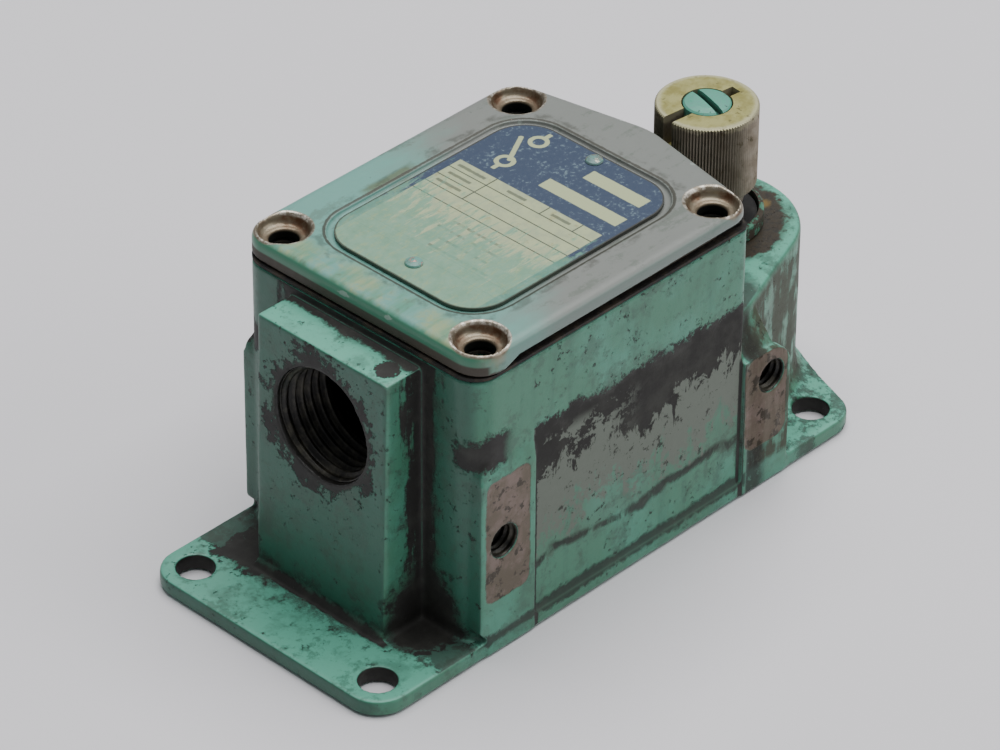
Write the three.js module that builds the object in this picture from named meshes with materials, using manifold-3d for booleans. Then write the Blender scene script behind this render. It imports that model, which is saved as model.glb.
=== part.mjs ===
// Heavy-duty rotary limit switch: a cast housing with a conduit entry, a flat cover with a
// nameplate, a knurled hub on a vertical shaft, and the crank, rocker and contacts inside.
//
// Frame, in millimetres: the origin is on the flat underside, midway between the four mounting
// holes. +X runs from the conduit end to the shaft end, +Y across, and +Z up out of the plate.
import * as THREE from "three";
import { mergeVertices } from "three/addons/utils/BufferGeometryUtils.js";
import Module from "manifold-3d";

const wasm = await Module();
wasm.setup();

// ---- driving dimensions ----
const GAP = 0.3; // clearance kept between neighbouring pieces

// mounting plate
const PLATE_T = 3.2;
const PLATE_HALF_Y = 28.6;
const PLATE_FRONT = -61;
const PLATE_CORNER_R = 6.3;
const MOUNT_X = 54.8;
const MOUNT_Y = 22.2;
const MOUNT_HOLE_R = 3.35;
const EAR_X = 55.2; // centre of the rounded rear corners
const EDGE_R = 0.5; // softened edge of the castings

// box of the housing
const BOX_FRONT = -37.3;
const BOX_HALF_Y = 27.9;
const BOX_REAR = 30;
const BOX_APEX = 34.2;
const BOX_TOP = 56.5;
const BOX_CORNER_R = 5;
const WALL = 3.6;
const FLOOR = 5.2;
const CAVITY_REAR = 26.8;

// conduit entry
const CONDUIT_Z = 39.6;
const CONDUIT_R = 10.7; // root of the pipe thread
const BOSS_HALF_Y = 15.4;
const BOSS_TOP = 55;
const BOSS_FOOT_X = -46.7;
const BOSS_DRAFT = 1.3; // how far the front face leans back over its height
const BOSS_LEDGE = 0.7; // low step along the foot of the front face
const CONDUIT_DEPTH = 17;

// side mounting pads
const SIDE_HOLE_Z = 22.8;
const SIDE_HOLE_R = 3.2;
const SIDE_HOLE_DEPTH = 9;
const SIDE_HOLE_WALL = 3.3; // metal left round the end of a front side hole
const FRONT_HOLE_X = -30.9;
const REAR_HOLE_X = 36.3;
const FRONT_PAD = { x0: -36.6, x1: -23.2, top: 40.6, corner: 4.6 };
const REAR_PAD = { x0: 29.2, x1: 41.4, top: 28.6, corner: 5.6 };
const PAD_FOOT = 1.6; // undercut where a front pad meets the plate
const PAD_EDGE = 0.25;
const PAD_SHOULDER = 4.4; // how far the slope above a front pad comes down its face
const PAD_ROOT_Y = 15; // how far a pad's solid runs into the body

// shaft end
const SHAFT_X = 49.3;
const SHAFT_BOSS_R = 17.4;
const SHAFT_FLANGE_R = 19.1;
const SHAFT_BOSS_TOP = 36.2;
const SHAFT_BOSS_EDGE = 1.1;
const FLARE_R = 4; // hollow fillet between the round boss and the plate
const SADDLE_DROP = 1.2; // top of the slope above a rear pad, below the boss top
const SADDLE_HALF_Y = 22.4;
const WEB_HALF_Y = 25.8; // half width of the tapered body where it leaves the box
const CHAMBER_R = 13;
const CHAMBER_FLOOR = 6;
const CHAMBER_TOP = 27;
const PASSAGE_HALF_Y = 11;
const PASSAGE_TOP = 24;
const FOOT_POCKET_R = 4.6;
const FOOT_POCKET_Z = 2.2;
const ROCKER_BOSS_R = 4.5;
const ROCKER_BOSS_TOP = 12.2;

// cover
const COVER_BOTTOM = 57.7;
const COVER_TOP = 62;
const COVER_FRONT = -37;
const COVER_HALF_Y = 28.4;
const COVER_APEX = 34.9;
const COVER_APEX_R = 15;
const COVER_EDGE = 1.5;
const RELIEF = { x0: -31, x1: 28.4, run: 3.5, top: 59.5, depth: 1.3 }; // undercut along each side
const SCREW_X = [-31.45, 25.25];
const SCREW_Y = 23.1;
const SCREW_R = 2.65;
const COUNTERBORE_R = 4.75;
const COUNTERBORE_FLOOR_R = 3.7;
const COUNTERBORE_DEPTH = 2.1;
const POST_R = 4.6;
const TAP_R = 2.1;
const TAP_DEPTH = 16;
const COVER_WINDOW = { x0: -28.5, x1: 22.3, halfY: 20.2, r: 4 }; // opening inside the gasket
const COVER_CORNER_R = COVER_HALF_Y - SCREW_Y;

// nameplate
const NAME = { x0: -28.3, x1: 22.5, halfY: 18.6, r: 7.4, bottom: 61.35, top: 61.85 };
const NAME_MARGIN = 1.3;
const NAME_RECESS_FLOOR = 61.1;
const RIVET_X = [-23.6, 20.4];
const RIVET_R = 0.9;
const RIVET_HEAD_R = 1.6;

// shaft, hub and bushings
const JOURNAL_R = 4.75;
const SHAFT_LOWER_R = 4;
const SHAFT_FOOT_R = 3;
const SHAFT_END_R = 3.5;
const SHAFT_FOOT_Z = 2.6;
const SHAFT_TOP = 57.8;
const HUB_R = 9.25;
const HUB_NECK_R = 7;
const HUB_BOTTOM = 45;
const HUB_TOP = 60.7;
const HUB_SEAT = 41; // shoulder of the shaft that the hub's neck rests on
const HUB_TEETH = 104;
const HUB_TOOTH = 0.24;
const HUB_CHAMFER = 0.35;
const HUB_KEY_W = 2.2;
const HUB_KEY_TURN = THREE.MathUtils.degToRad(-6.6);
const HUB_KEY_DEPTH = 6;
const HUB_MARK = { end: 6.8, depth: 2.2 }; // short slot across from the keyway
const HUB_HEAD_SEAT = 58.3;
const HUB_HEAD_R = 4.3;
const HUB_SCREW_R = 2.1;
const HUB_SCREW_TIP = 47;
const HUB_SCREW_SLOT_W = 1.3;
const HUB_SCREW_TURN = THREE.MathUtils.degToRad(74);
const COLLAR_R = 10.7;
const COLLAR_TOP = 39.4;
const COLLAR_WALL = 0.9;
const COLLAR_DISH = 2.6; // how far the seal sits below the collar's rim
const SLEEVE_R = 6.7;
const SEAL = { shoulderR: 6.4, lipR: 5.6, t: 1.2, lip: 1.9 };
const RETAINER = { outer: 6.6, z0: 25.9, z1: 26.7 };
const SPRING = { coilR: 6.4, wireR: 0.6, turns: 3.5, z0: 19.8, rise: 1.45, tailY: -5 };

// crank, rocker and contact arm; each pivots on a vertical pin on the centre line
const CRANK_THROW = 8;
const CRANK_Z = [8.2, 13.2];
const CRANK_HUB_R = 6.8;
const CRANK_PIN_Z = (CRANK_Z[0] + CRANK_Z[1]) / 2;
const CRANK_PIN_R = 1.2;
const DRIVE_PIN_R = 1.8;
const ROCKER_X = 25.3;
const ROCKER_Z = [13.8, 17.8];
const ROCKER_PIN_R = 2;
const ROCKER_PIN_Z = [2.3, 20.6];
const ROCKER_HUB = { r: 4.4, z0: 12.5, rise: 1 };
const ROCKER_FORK = { wall: 2, slotStart: 11.5, end: 18.7 };
const ROCKER_CLIP = { outer: 4, z0: 19.1, z1: 19.9 };
const TAIL_THROW = 12;
const TAIL_PIN_R = 1.6;
const TAIL_PIN_Z = [14, 22.4];
const TAIL_HALF_Y = 2.8;
const ARM_X = -5;
const ARM_Z = [18.3, 21.8];
const ARM_PIN_R = 1.7;
const ARM_PIN_Z = [6.8, 25.4];
const ARM_HUB = { r: 4.2, z0: 12, z1: 23.5 };
const ARM_FORK = { wall: 1.6, slotStart: 12, end: 21.5 };
const ARM_REACH = 11.5;
const ARM_HALF_Y = 1.4;
const ARM_CLIP = { outer: 3.6, z0: 23.8, z1: 24.6 };
const PEDESTAL = { r: 4, top: 11.7 }; // seat under the contact arm
const FORK_PLAY = 0.4;
const CONTACT_X = -14;
const CONTACT_Z = 20;
const CONTACT_FACE_Y = 4.7;
const CONTACT_BUTTON_R = 1.8;
const CONTACT_SHANK_R = 0.8;

// contact block and terminals
const BLOCK = { x0: -24, x1: 6, halfY: 18, z0: 5.5, z1: 28 };
const CHANNEL = { x0: -18.5, halfY: 8.5, floor: 10 };
const TERMINAL_Y = 13.2;
const COMMON_X = -21.2;
const STRIP_T = 1;
const STRIP_FOOT_Z = 12;
const STRIP_HALF_W = 2;
const STRIP_LUG_HALF_W = 3.2;
const STRIP_END_Y = 17.2;
const CLAMP = { halfX: 2.7, halfY: 3, t: 0.8 };
const TERMINAL_R = 1.4;
const TERMINAL_HEAD = { r: 2.6, seat: 30.7, h: 2.2 };
const TERMINAL_TIP = 20;
const TERMINAL_HOLE_FLOOR = 18;
const BLOCK_SCREW_X = 1.5;
const BLOCK_SCREW_R = 1.8;
const BLOCK_SCREW_TIP = 2.4;
const BLOCK_SCREW_HEAD = { r: 3.4, h: 2.4 };

// ---- solids ----
// A closed three.js geometry as a solid that can be joined and cut.
function solid(geometry) {
  const bare = geometry.index ? geometry.toNonIndexed() : geometry.clone();
  bare.deleteAttribute("normal");
  bare.deleteAttribute("uv");
  const merged = mergeVertices(bare, 1e-4);
  return new wasm.Manifold(
    new wasm.Mesh({
      numProp: 3,
      vertProperties: new Float32Array(merged.attributes.position.array),
      triVerts: new Uint32Array(merged.index.array),
    }),
  );
}

function join(...solids) {
  return solids.reduce((sum, s) => sum.add(s));
}

function cut(body, ...tools) {
  return tools.reduce((rest, tool) => rest.subtract(tool), body);
}

function block(x0, x1, y0, y1, z0, z1) {
  const box = new THREE.BoxGeometry(x1 - x0, y1 - y0, z1 - z0);
  box.translate((x0 + x1) / 2, (y0 + y1) / 2, (z0 + z1) / 2);
  return solid(box);
}

// A round bar from a start point, along the named axis.
function rod(axis, radius, start, length, segments = 24) {
  const bar = new THREE.CylinderGeometry(radius, radius, length, segments);
  bar.translate(0, length / 2, 0);
  if (axis === "x") bar.rotateZ(-Math.PI / 2);
  if (axis === "z") bar.rotateX(Math.PI / 2);
  bar.translate(...start);
  return solid(bar);
}

// A vertical round bar between two heights.
function post(x, y, radius, z0, z1, segments = 24) {
  return rod("z", radius, [x, y, z0], z1 - z0, segments);
}

// A turned body about a vertical axis; the profile is a list of [radius, height].
function turned(x, y, profile, segments = 36) {
  const points = profile.map(([r, z]) => new THREE.Vector2(r, z));
  if (THREE.ShapeUtils.area(points) < 0) points.reverse();
  if (points.some((p) => p.x > 0) && points.every((p) => p.x > 0)) points.push(points[0].clone());
  const lathe = new THREE.LatheGeometry(points, segments);
  lathe.rotateX(Math.PI / 2);
  lathe.translate(x, y, 0);
  return solid(lathe);
}

// A washer or bushing between two radii and two heights.
function ring(x, y, inner, outer, z0, z1, segments = 28) {
  return turned(x, y, [[inner, z0], [outer, z0], [outer, z1], [inner, z1]], segments);
}

// A flat outline raised between two heights, with softened top and bottom edges.
function prism(shape, z0, z1, edge = 0, edgeSegments = 2, curveSegments = 8) {
  const raised = new THREE.ExtrudeGeometry(shape, {
    depth: z1 - z0 - 2 * edge,
    bevelEnabled: edge > 0,
    bevelThickness: edge,
    bevelSize: edge,
    bevelOffset: -edge,
    bevelSegments: edgeSegments,
    curveSegments,
  });
  raised.translate(0, 0, z0 + edge);
  return solid(raised);
}

// An outline drawn in X and Z, carried across Y between two faces.
function sideways(shape, y0, y1, edge = 0) {
  const raised = new THREE.ExtrudeGeometry(shape, {
    depth: y1 - y0 - 2 * edge,
    bevelEnabled: edge > 0,
    bevelThickness: edge,
    bevelSize: edge,
    bevelOffset: -edge,
    bevelSegments: 2,
    curveSegments: 6,
  });
  raised.rotateX(Math.PI / 2);
  raised.translate(0, y1 - edge, 0);
  return solid(raised);
}

function roundedRect(x0, x1, halfY, r) {
  const s = new THREE.Shape();
  s.absarc(x0 + r, -halfY + r, r, Math.PI, 1.5 * Math.PI);
  s.absarc(x1 - r, -halfY + r, r, 1.5 * Math.PI, 2 * Math.PI);
  s.absarc(x1 - r, halfY - r, r, 0, 0.5 * Math.PI);
  s.absarc(x0 + r, halfY - r, r, 0.5 * Math.PI, Math.PI);
  return s;
}

function polygon(points) {
  return new THREE.Shape(points.map(([x, y]) => new THREE.Vector2(x, y)));
}

function mirrored(body) {
  return body.mirror([0, 1, 0]);
}

// ---- the scene graph ----
const FINISHES = {
  enamel: ["#4f9c85", 0.5, 0.1],
  bronze: ["#9a7b45", 0.4, 0.9],
  nickel: ["#a59b80", 0.4, 0.9],
  steel: ["#8d9094", 0.35, 0.95],
  brass: ["#b89a54", 0.35, 0.9],
  silver: ["#c9c9c4", 0.3, 0.95],
  rubber: ["#1b1b1b", 0.85, 0],
  phenolic: ["#1d1713", 0.5, 0],
  label: ["#7f9a86", 0.45, 0.3],
  gasket: ["#2a2622", 0.9, 0],
};

const limitSwitch = new THREE.Group();

function add(name, body, finish) {
  const mesh = body.getMesh();
  const geometry = new THREE.BufferGeometry();
  geometry.setAttribute("position", new THREE.BufferAttribute(mesh.vertProperties, 3));
  geometry.setIndex(new THREE.BufferAttribute(mesh.triVerts, 1));
  const [color, roughness, metalness] = FINISHES[finish];
  const material = new THREE.MeshStandardMaterial({ color, roughness, metalness });
  const part = new THREE.Mesh(geometry, material);
  part.name = name;
  limitSwitch.add(part);
}

// ---- housing ----
// The angle, seen from the shaft axis, at which a straight side from a point touches a circle.
function tangentAngle(x, y, r) {
  const reach = Math.hypot(x - SHAFT_X, y);
  return Math.atan2(y, x - SHAFT_X) + Math.acos(r / reach);
}

function plateOutline() {
  const slant = Math.acos((SHAFT_FLANGE_R - PLATE_CORNER_R) / Math.hypot(EAR_X - SHAFT_X, MOUNT_Y));
  const edgeAngle = Math.atan2(-MOUNT_Y, EAR_X - SHAFT_X) + slant;
  const frontX = PLATE_FRONT + PLATE_CORNER_R;
  const s = new THREE.Shape();
  s.absarc(frontX, -MOUNT_Y, PLATE_CORNER_R, Math.PI, 1.5 * Math.PI);
  s.absarc(EAR_X, -MOUNT_Y, PLATE_CORNER_R, -0.5 * Math.PI, edgeAngle);
  s.absarc(SHAFT_X, 0, SHAFT_FLANGE_R, edgeAngle, -edgeAngle);
  s.absarc(EAR_X, MOUNT_Y, PLATE_CORNER_R, -edgeAngle, 0.5 * Math.PI);
  s.absarc(frontX, MOUNT_Y, PLATE_CORNER_R, 0.5 * Math.PI, Math.PI);
  return s;
}

function boxOutline() {
  const r = BOX_CORNER_R;
  const half = BOX_HALF_Y;
  const s = new THREE.Shape();
  s.absarc(BOX_FRONT + r, -half + r, r, Math.PI, 1.5 * Math.PI);
  s.absarc(BOX_REAR - 2, -half + 2, 2, -0.5 * Math.PI, 0);
  s.quadraticCurveTo(BOX_APEX, -2, BOX_APEX, 0);
  s.quadraticCurveTo(BOX_APEX, 2, BOX_REAR, half - 2);
  s.absarc(BOX_REAR - 2, half - 2, 2, 0, 0.5 * Math.PI);
  s.absarc(BOX_FRONT + r, half - r, r, 0.5 * Math.PI, Math.PI);
  return s;
}

function shaftEndOutline() {
  const touch = tangentAngle(BOX_REAR, -WEB_HALF_Y, SHAFT_BOSS_R);
  const s = new THREE.Shape();
  s.moveTo(CAVITY_REAR, -WEB_HALF_Y);
  s.lineTo(BOX_REAR, -WEB_HALF_Y);
  s.absarc(SHAFT_X, 0, SHAFT_BOSS_R, touch, -touch);
  s.lineTo(BOX_REAR, WEB_HALF_Y);
  s.lineTo(CAVITY_REAR, WEB_HALF_Y);
  return s;
}

function conduitBoss() {
  const profile = polygon([
    [BOX_FRONT + 1, 0],
    [BOSS_FOOT_X - BOSS_LEDGE, 0],
    [BOSS_FOOT_X - BOSS_LEDGE, PLATE_T + BOSS_LEDGE],
    [BOSS_FOOT_X, PLATE_T + 2 * BOSS_LEDGE],
    [BOSS_FOOT_X + BOSS_DRAFT, BOSS_TOP],
    [BOX_FRONT + 1, BOSS_TOP],
  ]);
  return sideways(profile, -BOSS_HALF_Y, BOSS_HALF_Y, EDGE_R);
}

// A side pad at the front corner, with one rounded shoulder and an undercut foot.
function frontPad() {
  const { x0, x1, top, corner } = FRONT_PAD;
  const s = new THREE.Shape();
  s.moveTo(x1, 0);
  s.lineTo(x1, top - 1);
  s.lineTo(x1 - 1, top);
  s.absarc(x0 + corner, top - corner, corner, 0.5 * Math.PI, Math.PI);
  s.lineTo(x0, PLATE_T + PAD_FOOT + 1);
  s.lineTo(x0 + PAD_FOOT, PLATE_T + 0.8);
  s.lineTo(x0 + PAD_FOOT, 0);
  const shoulder = polygon([
    [-PLATE_HALF_Y, top - PAD_SHOULDER],
    [-PLATE_HALF_Y - 1, top + 4],
    [-BOX_HALF_Y + 0.2, top + 0.4],
  ]);
  const slope = new THREE.ExtrudeGeometry(shoulder, { depth: x1 - x0 + 4, bevelEnabled: false });
  slope.rotateX(Math.PI / 2);
  slope.rotateZ(Math.PI / 2);
  slope.translate(x0 - 2, 0, 0);
  return cut(sideways(s, -PLATE_HALF_Y, -PAD_ROOT_Y, PAD_EDGE), solid(slope));
}

// A side pad under the shaft end, with the slope that runs from it up to the tapered body.
function rearPad() {
  const { x0, x1, top, corner } = REAR_PAD;
  const s = new THREE.Shape();
  s.moveTo(x0, 0);
  s.lineTo(x1, 0);
  s.absarc(x1 - corner, top - corner, corner, 0, 0.5 * Math.PI);
  s.lineTo(x0, top);
  const slope = polygon([
    [-PLATE_HALF_Y + 0.6, top - 0.8],
    [-PAD_ROOT_Y, top - 0.8],
    [-PAD_ROOT_Y, SHAFT_BOSS_TOP - SADDLE_DROP],
    [-SADDLE_HALF_Y, SHAFT_BOSS_TOP - SADDLE_DROP],
  ]);
  const wedge = new THREE.ExtrudeGeometry(slope, { depth: 0.7 * (x1 - x0), bevelEnabled: false });
  wedge.rotateX(Math.PI / 2);
  wedge.rotateZ(Math.PI / 2);
  wedge.translate(x0, 0, 0);
  return join(sideways(s, -PLATE_HALF_Y, -PAD_ROOT_Y, PAD_EDGE), solid(wedge));
}

// The hollow fillet that carries the round boss out to the plate, kept inside the plate's edge.
function bossFlare() {
  const root = SHAFT_BOSS_R + 0.15; // clears the facets of the round boss
  const steps = 4;
  const profile = [[root - 2, 1], [root + FLARE_R, 1]];
  for (let i = 0; i <= steps; i++) {
    const a = (i / steps) * 0.5 * Math.PI;
    profile.push([root + FLARE_R * (1 - Math.sin(a)), PLATE_T + FLARE_R * (1 - Math.cos(a))]);
  }
  profile.push([root - 2, PLATE_T + FLARE_R]);
  const flare = turned(SHAFT_X, 0, profile, 56);
  return flare.intersect(prism(plateOutline(), 0, PLATE_T + 2 * FLARE_R, 0, 1, 12));
}

function coverScrewPlaces() {
  return SCREW_X.flatMap((x) => [[x, -SCREW_Y], [x, SCREW_Y]]);
}

function housing() {
  const plate = prism(plateOutline(), 0, PLATE_T, EDGE_R, 2, 12);
  const box = prism(boxOutline(), 0, BOX_TOP, 0, 1, 8);
  const shaftEnd = prism(shaftEndOutline(), 0, SHAFT_BOSS_TOP, SHAFT_BOSS_EDGE, 3, 18);
  const upperShaftEnd = shaftEnd.intersect(block(0, 80, -40, 40, SHAFT_BOSS_EDGE, 60));
  const lowerShaftEnd = prism(shaftEndOutline(), 0.5, SHAFT_BOSS_EDGE + 1, 0, 1, 18);
  const body = join(
    plate, box, upperShaftEnd, lowerShaftEnd, bossFlare(), conduitBoss(),
    frontPad(), mirrored(frontPad()), rearPad(), mirrored(rearPad()),
  );

  const cavityFront = BOX_FRONT + WALL + 0.4;
  const posts = coverScrewPlaces().map(([x, y]) => post(x, y, POST_R, FLOOR - 1, BOX_TOP + 2, 24));
  const innerPadX = FRONT_HOLE_X + SIDE_HOLE_R + SIDE_HOLE_WALL - 1;
  const innerPadY = PLATE_HALF_Y - SIDE_HOLE_DEPTH - 0.8;
  const innerPadTop = SIDE_HOLE_Z + SIDE_HOLE_R + 2 * SIDE_HOLE_WALL;
  const innerPad = block(BOX_FRONT, innerPadX, -BOX_HALF_Y, -innerPadY, 0, innerPadTop);
  const rockerBoss = post(ROCKER_X, 0, ROCKER_BOSS_R, 0, ROCKER_BOSS_TOP, 24);
  const cavity = cut(
    prism(roundedRect(cavityFront, CAVITY_REAR, BOX_HALF_Y - WALL, 3), FLOOR, BOX_TOP + 1, 0, 1, 5),
    ...posts, innerPad, mirrored(innerPad), rockerBoss,
  );
  const chamber = post(SHAFT_X, 0, CHAMBER_R, CHAMBER_FLOOR, CHAMBER_TOP, 48);
  const passage = cut(
    block(CAVITY_REAR - 1, SHAFT_X, -PASSAGE_HALF_Y, PASSAGE_HALF_Y, CHAMBER_FLOOR, PASSAGE_TOP),
    rockerBoss,
  );
  const screwHoles = coverScrewPlaces().map(([x, y]) => post(x, y, TAP_R, BOX_TOP - TAP_DEPTH, 60, 20));
  const mountHoles = [-MOUNT_X, MOUNT_X].flatMap((x) =>
    [-MOUNT_Y, MOUNT_Y].map((y) => post(x, y, MOUNT_HOLE_R, -1, 10, 32)),
  );
  const sideHoles = [FRONT_HOLE_X, REAR_HOLE_X].flatMap((x) => [
    rod("y", SIDE_HOLE_R, [x, -PLATE_HALF_Y - 1, SIDE_HOLE_Z], SIDE_HOLE_DEPTH + 1, 28),
    rod("y", SIDE_HOLE_R, [x, PLATE_HALF_Y - SIDE_HOLE_DEPTH, SIDE_HOLE_Z], SIDE_HOLE_DEPTH + 1, 28),
  ]);
  const blockScrewHoles = [-TERMINAL_Y, TERMINAL_Y].map((y) =>
    post(BLOCK_SCREW_X, y, BLOCK_SCREW_R + GAP, BLOCK_SCREW_TIP - 0.4, FLOOR + 1, 20),
  );
  return cut(
    body, cavity, chamber, passage,
    rod("x", CONDUIT_R, [BOSS_FOOT_X - 1, 0, CONDUIT_Z], CONDUIT_DEPTH + 1, 56),
    post(SHAFT_X, 0, SLEEVE_R + GAP, CHAMBER_TOP - 1, SHAFT_BOSS_TOP + 1, 40),
    post(SHAFT_X, 0, FOOT_POCKET_R, FOOT_POCKET_Z, CHAMBER_FLOOR + 1, 28),
    post(ROCKER_X, 0, ROCKER_PIN_R + GAP, 2, ROCKER_BOSS_TOP + 1, 20),
    ...screwHoles, ...mountHoles, ...sideHoles, ...blockScrewHoles,
  );
}
add("housing", housing(), "enamel");

// ---- cover, gasket and nameplate ----
function coverOutline() {
  const r = COVER_CORNER_R;
  const slope = Math.atan2(COVER_APEX - (SCREW_X[1] + r), SCREW_Y);
  const s = new THREE.Shape();
  s.absarc(COVER_FRONT + r, -SCREW_Y, r, Math.PI, 1.5 * Math.PI);
  s.absarc(SCREW_X[1], -SCREW_Y, r, -0.5 * Math.PI, -slope);
  s.absarc(COVER_APEX - COVER_APEX_R, 0, COVER_APEX_R, -slope, slope);
  s.absarc(SCREW_X[1], SCREW_Y, r, slope, 0.5 * Math.PI);
  s.absarc(COVER_FRONT + r, SCREW_Y, r, 0.5 * Math.PI, Math.PI);
  return s;
}

// A screw hole with a dished counterbore and a turned-out rim.
function counterbore(x, y) {
  const floor = COVER_TOP - COUNTERBORE_DEPTH;
  return turned(x, y, [
    [0, COVER_BOTTOM - 1], [SCREW_R, COVER_BOTTOM - 1], [SCREW_R, floor], [COUNTERBORE_FLOOR_R, floor],
    [COUNTERBORE_FLOOR_R + 0.5, floor + 0.4], [COUNTERBORE_R - 0.3, COVER_TOP - 0.7],
    [COUNTERBORE_R, COVER_TOP - 0.2], [COUNTERBORE_R + 0.4, COVER_TOP + 0.2], [0, COVER_TOP + 0.2],
  ], 36);
}

// The shallow undercut between the corners of a long side, deeper towards the shaft end.
function sideRelief() {
  const { x0, x1, run, top, depth } = RELIEF;
  const s = polygon([
    [x0, COVER_BOTTOM - 1],
    [x1, COVER_BOTTOM - 1],
    [x1, top],
    [x0 + run, top - 0.4],
    [x0, COVER_BOTTOM],
  ]);
  return sideways(s, -COVER_HALF_Y - 1, -COVER_HALF_Y + depth);
}

function cover() {
  const overdrawn = prism(coverOutline(), COVER_BOTTOM - 4, COVER_TOP, COVER_EDGE, 3, 8);
  const plate = overdrawn.intersect(block(-50, 50, -40, 40, COVER_BOTTOM, COVER_TOP + 1));
  const { x0, x1, halfY, r } = NAME;
  const m = NAME_MARGIN;
  const recess = prism(
    roundedRect(x0 - m, x1 + m, halfY + m, r + m), NAME_RECESS_FLOOR, COVER_TOP + 1, 0, 1, 6,
  );
  const holes = coverScrewPlaces().map(([x, y]) => counterbore(x, y));
  const rivetHoles = RIVET_X.map((x) => post(x, 0, RIVET_R + GAP, COVER_BOTTOM - 1, COVER_TOP + 1, 16));
  return cut(plate, recess, sideRelief(), mirrored(sideRelief()), ...holes, ...rivetHoles);
}
add("cover", cover(), "enamel");

function gasket() {
  const sheet = prism(boxOutline(), BOX_TOP + GAP, COVER_BOTTOM - GAP, 0, 1, 6);
  const { x0, x1, halfY, r } = COVER_WINDOW;
  const window = prism(roundedRect(x0, x1, halfY, r), BOX_TOP, COVER_BOTTOM, 0, 1, 5);
  const holes = coverScrewPlaces().map(([x, y]) => post(x, y, SCREW_R, BOX_TOP, COVER_BOTTOM, 20));
  return cut(sheet, window, ...holes);
}
add("cover_gasket", gasket(), "gasket");

function nameplate() {
  const { x0, x1, halfY, r, bottom, top } = NAME;
  const plate = prism(roundedRect(x0, x1, halfY, r), bottom, top, 0, 1, 8);
  const holes = RIVET_X.map((x) => post(x, 0, RIVET_R + GAP, bottom - 1, top + 1, 16));
  return cut(plate, ...holes);
}
add("nameplate", nameplate(), "label");

function rivet(x) {
  const head = NAME.top + 0.1;
  const profile = [
    [0, COVER_BOTTOM + 1.8], [RIVET_R, COVER_BOTTOM + 1.8], [RIVET_R, head], [RIVET_HEAD_R, head],
    [RIVET_HEAD_R * 0.92, head + 0.3], [RIVET_HEAD_R * 0.55, head + 0.6], [0, head + 0.7],
  ];
  return turned(x, 0, profile, 24);
}
RIVET_X.forEach((x, i) => add("nameplate_rivet_" + ["front", "rear"][i], rivet(x), "steel"));

// ---- shaft, hub, bushings and seal ----
function toothedOutline() {
  const points = [];
  for (let i = 0; i < HUB_TEETH; i++) {
    for (const [step, r] of [[0, HUB_R], [0.5, HUB_R - HUB_TOOTH]]) {
      const a = ((i + step) / HUB_TEETH) * 2 * Math.PI;
      points.push([SHAFT_X + r * Math.cos(a), r * Math.sin(a)]);
    }
  }
  return polygon(points);
}

function hub() {
  const c = HUB_CHAMFER;
  const blank = turned(SHAFT_X, 0, [
    [0, HUB_SEAT + GAP], [HUB_NECK_R, HUB_SEAT + GAP], [HUB_NECK_R, HUB_BOTTOM],
    [HUB_R - c, HUB_BOTTOM], [HUB_R + 0.1, HUB_BOTTOM + c], [HUB_R + 0.1, HUB_TOP - c],
    [HUB_R - c, HUB_TOP], [0, HUB_TOP],
  ], 56);
  const body = blank.intersect(prism(toothedOutline(), HUB_SEAT, HUB_TOP + 1));
  const keyway = (x0, x1, depth) => {
    const slot = new THREE.BoxGeometry(x1 - x0, HUB_KEY_W, depth + 1);
    slot.translate((x0 + x1) / 2, 0, HUB_TOP + 0.5 - depth / 2);
    slot.rotateZ(HUB_KEY_TURN);
    slot.translate(SHAFT_X, 0, 0);
    return solid(slot);
  };
  return cut(
    body,
    post(SHAFT_X, 0, SHAFT_END_R + GAP, HUB_SEAT - 1, HUB_TOP, 32),
    post(SHAFT_X, 0, HUB_HEAD_R + GAP, HUB_HEAD_SEAT, HUB_TOP + 1, 36),
    keyway(-HUB_R - 1, -HUB_HEAD_R, HUB_KEY_DEPTH),
    keyway(HUB_HEAD_R - 0.5, HUB_MARK.end, HUB_MARK.depth),
  );
}
add("knurled_hub", hub(), "nickel");

function hubScrew() {
  const base = HUB_HEAD_SEAT + GAP;
  const rim = HUB_TOP - 0.1;
  const screw = turned(SHAFT_X, 0, [
    [0, HUB_SCREW_TIP], [HUB_SCREW_R, HUB_SCREW_TIP + 0.5], [HUB_SCREW_R, base], [HUB_HEAD_R, base],
    [HUB_HEAD_R, rim],
    [HUB_HEAD_R - 0.3, rim + 0.3], [HUB_HEAD_R * 0.6, rim + 0.55], [0, rim + 0.65],
  ], 32);
  const slot = new THREE.BoxGeometry(12, HUB_SCREW_SLOT_W, 2 * HUB_SCREW_SLOT_W);
  slot.rotateZ(HUB_SCREW_TURN);
  slot.translate(SHAFT_X, 0, HUB_TOP + 0.3);
  return cut(screw, solid(slot));
}
add("hub_screw", hubScrew(), "enamel");

function crankPinHole() {
  return rod("y", CRANK_PIN_R + GAP, [SHAFT_X, -CRANK_HUB_R - 1, CRANK_PIN_Z], 2 * (CRANK_HUB_R + 1), 16);
}

function shaft() {
  const turnedBar = turned(SHAFT_X, 0, [
    [0, SHAFT_FOOT_Z], [SHAFT_FOOT_R, SHAFT_FOOT_Z], [SHAFT_FOOT_R, CHAMBER_FLOOR + 0.5],
    [SHAFT_LOWER_R, CHAMBER_FLOOR + 0.5], [SHAFT_LOWER_R, CHAMBER_TOP], [JOURNAL_R, CHAMBER_TOP],
    [JOURNAL_R, HUB_SEAT], [SHAFT_END_R, HUB_SEAT], [SHAFT_END_R, SHAFT_TOP], [0, SHAFT_TOP],
  ], 32);
  return cut(
    turnedBar,
    post(SHAFT_X, 0, HUB_SCREW_R + GAP, HUB_SCREW_TIP - 1, SHAFT_TOP + 1, 20),
    crankPinHole(),
  );
}
add("rotary_shaft", shaft(), "steel");

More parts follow.
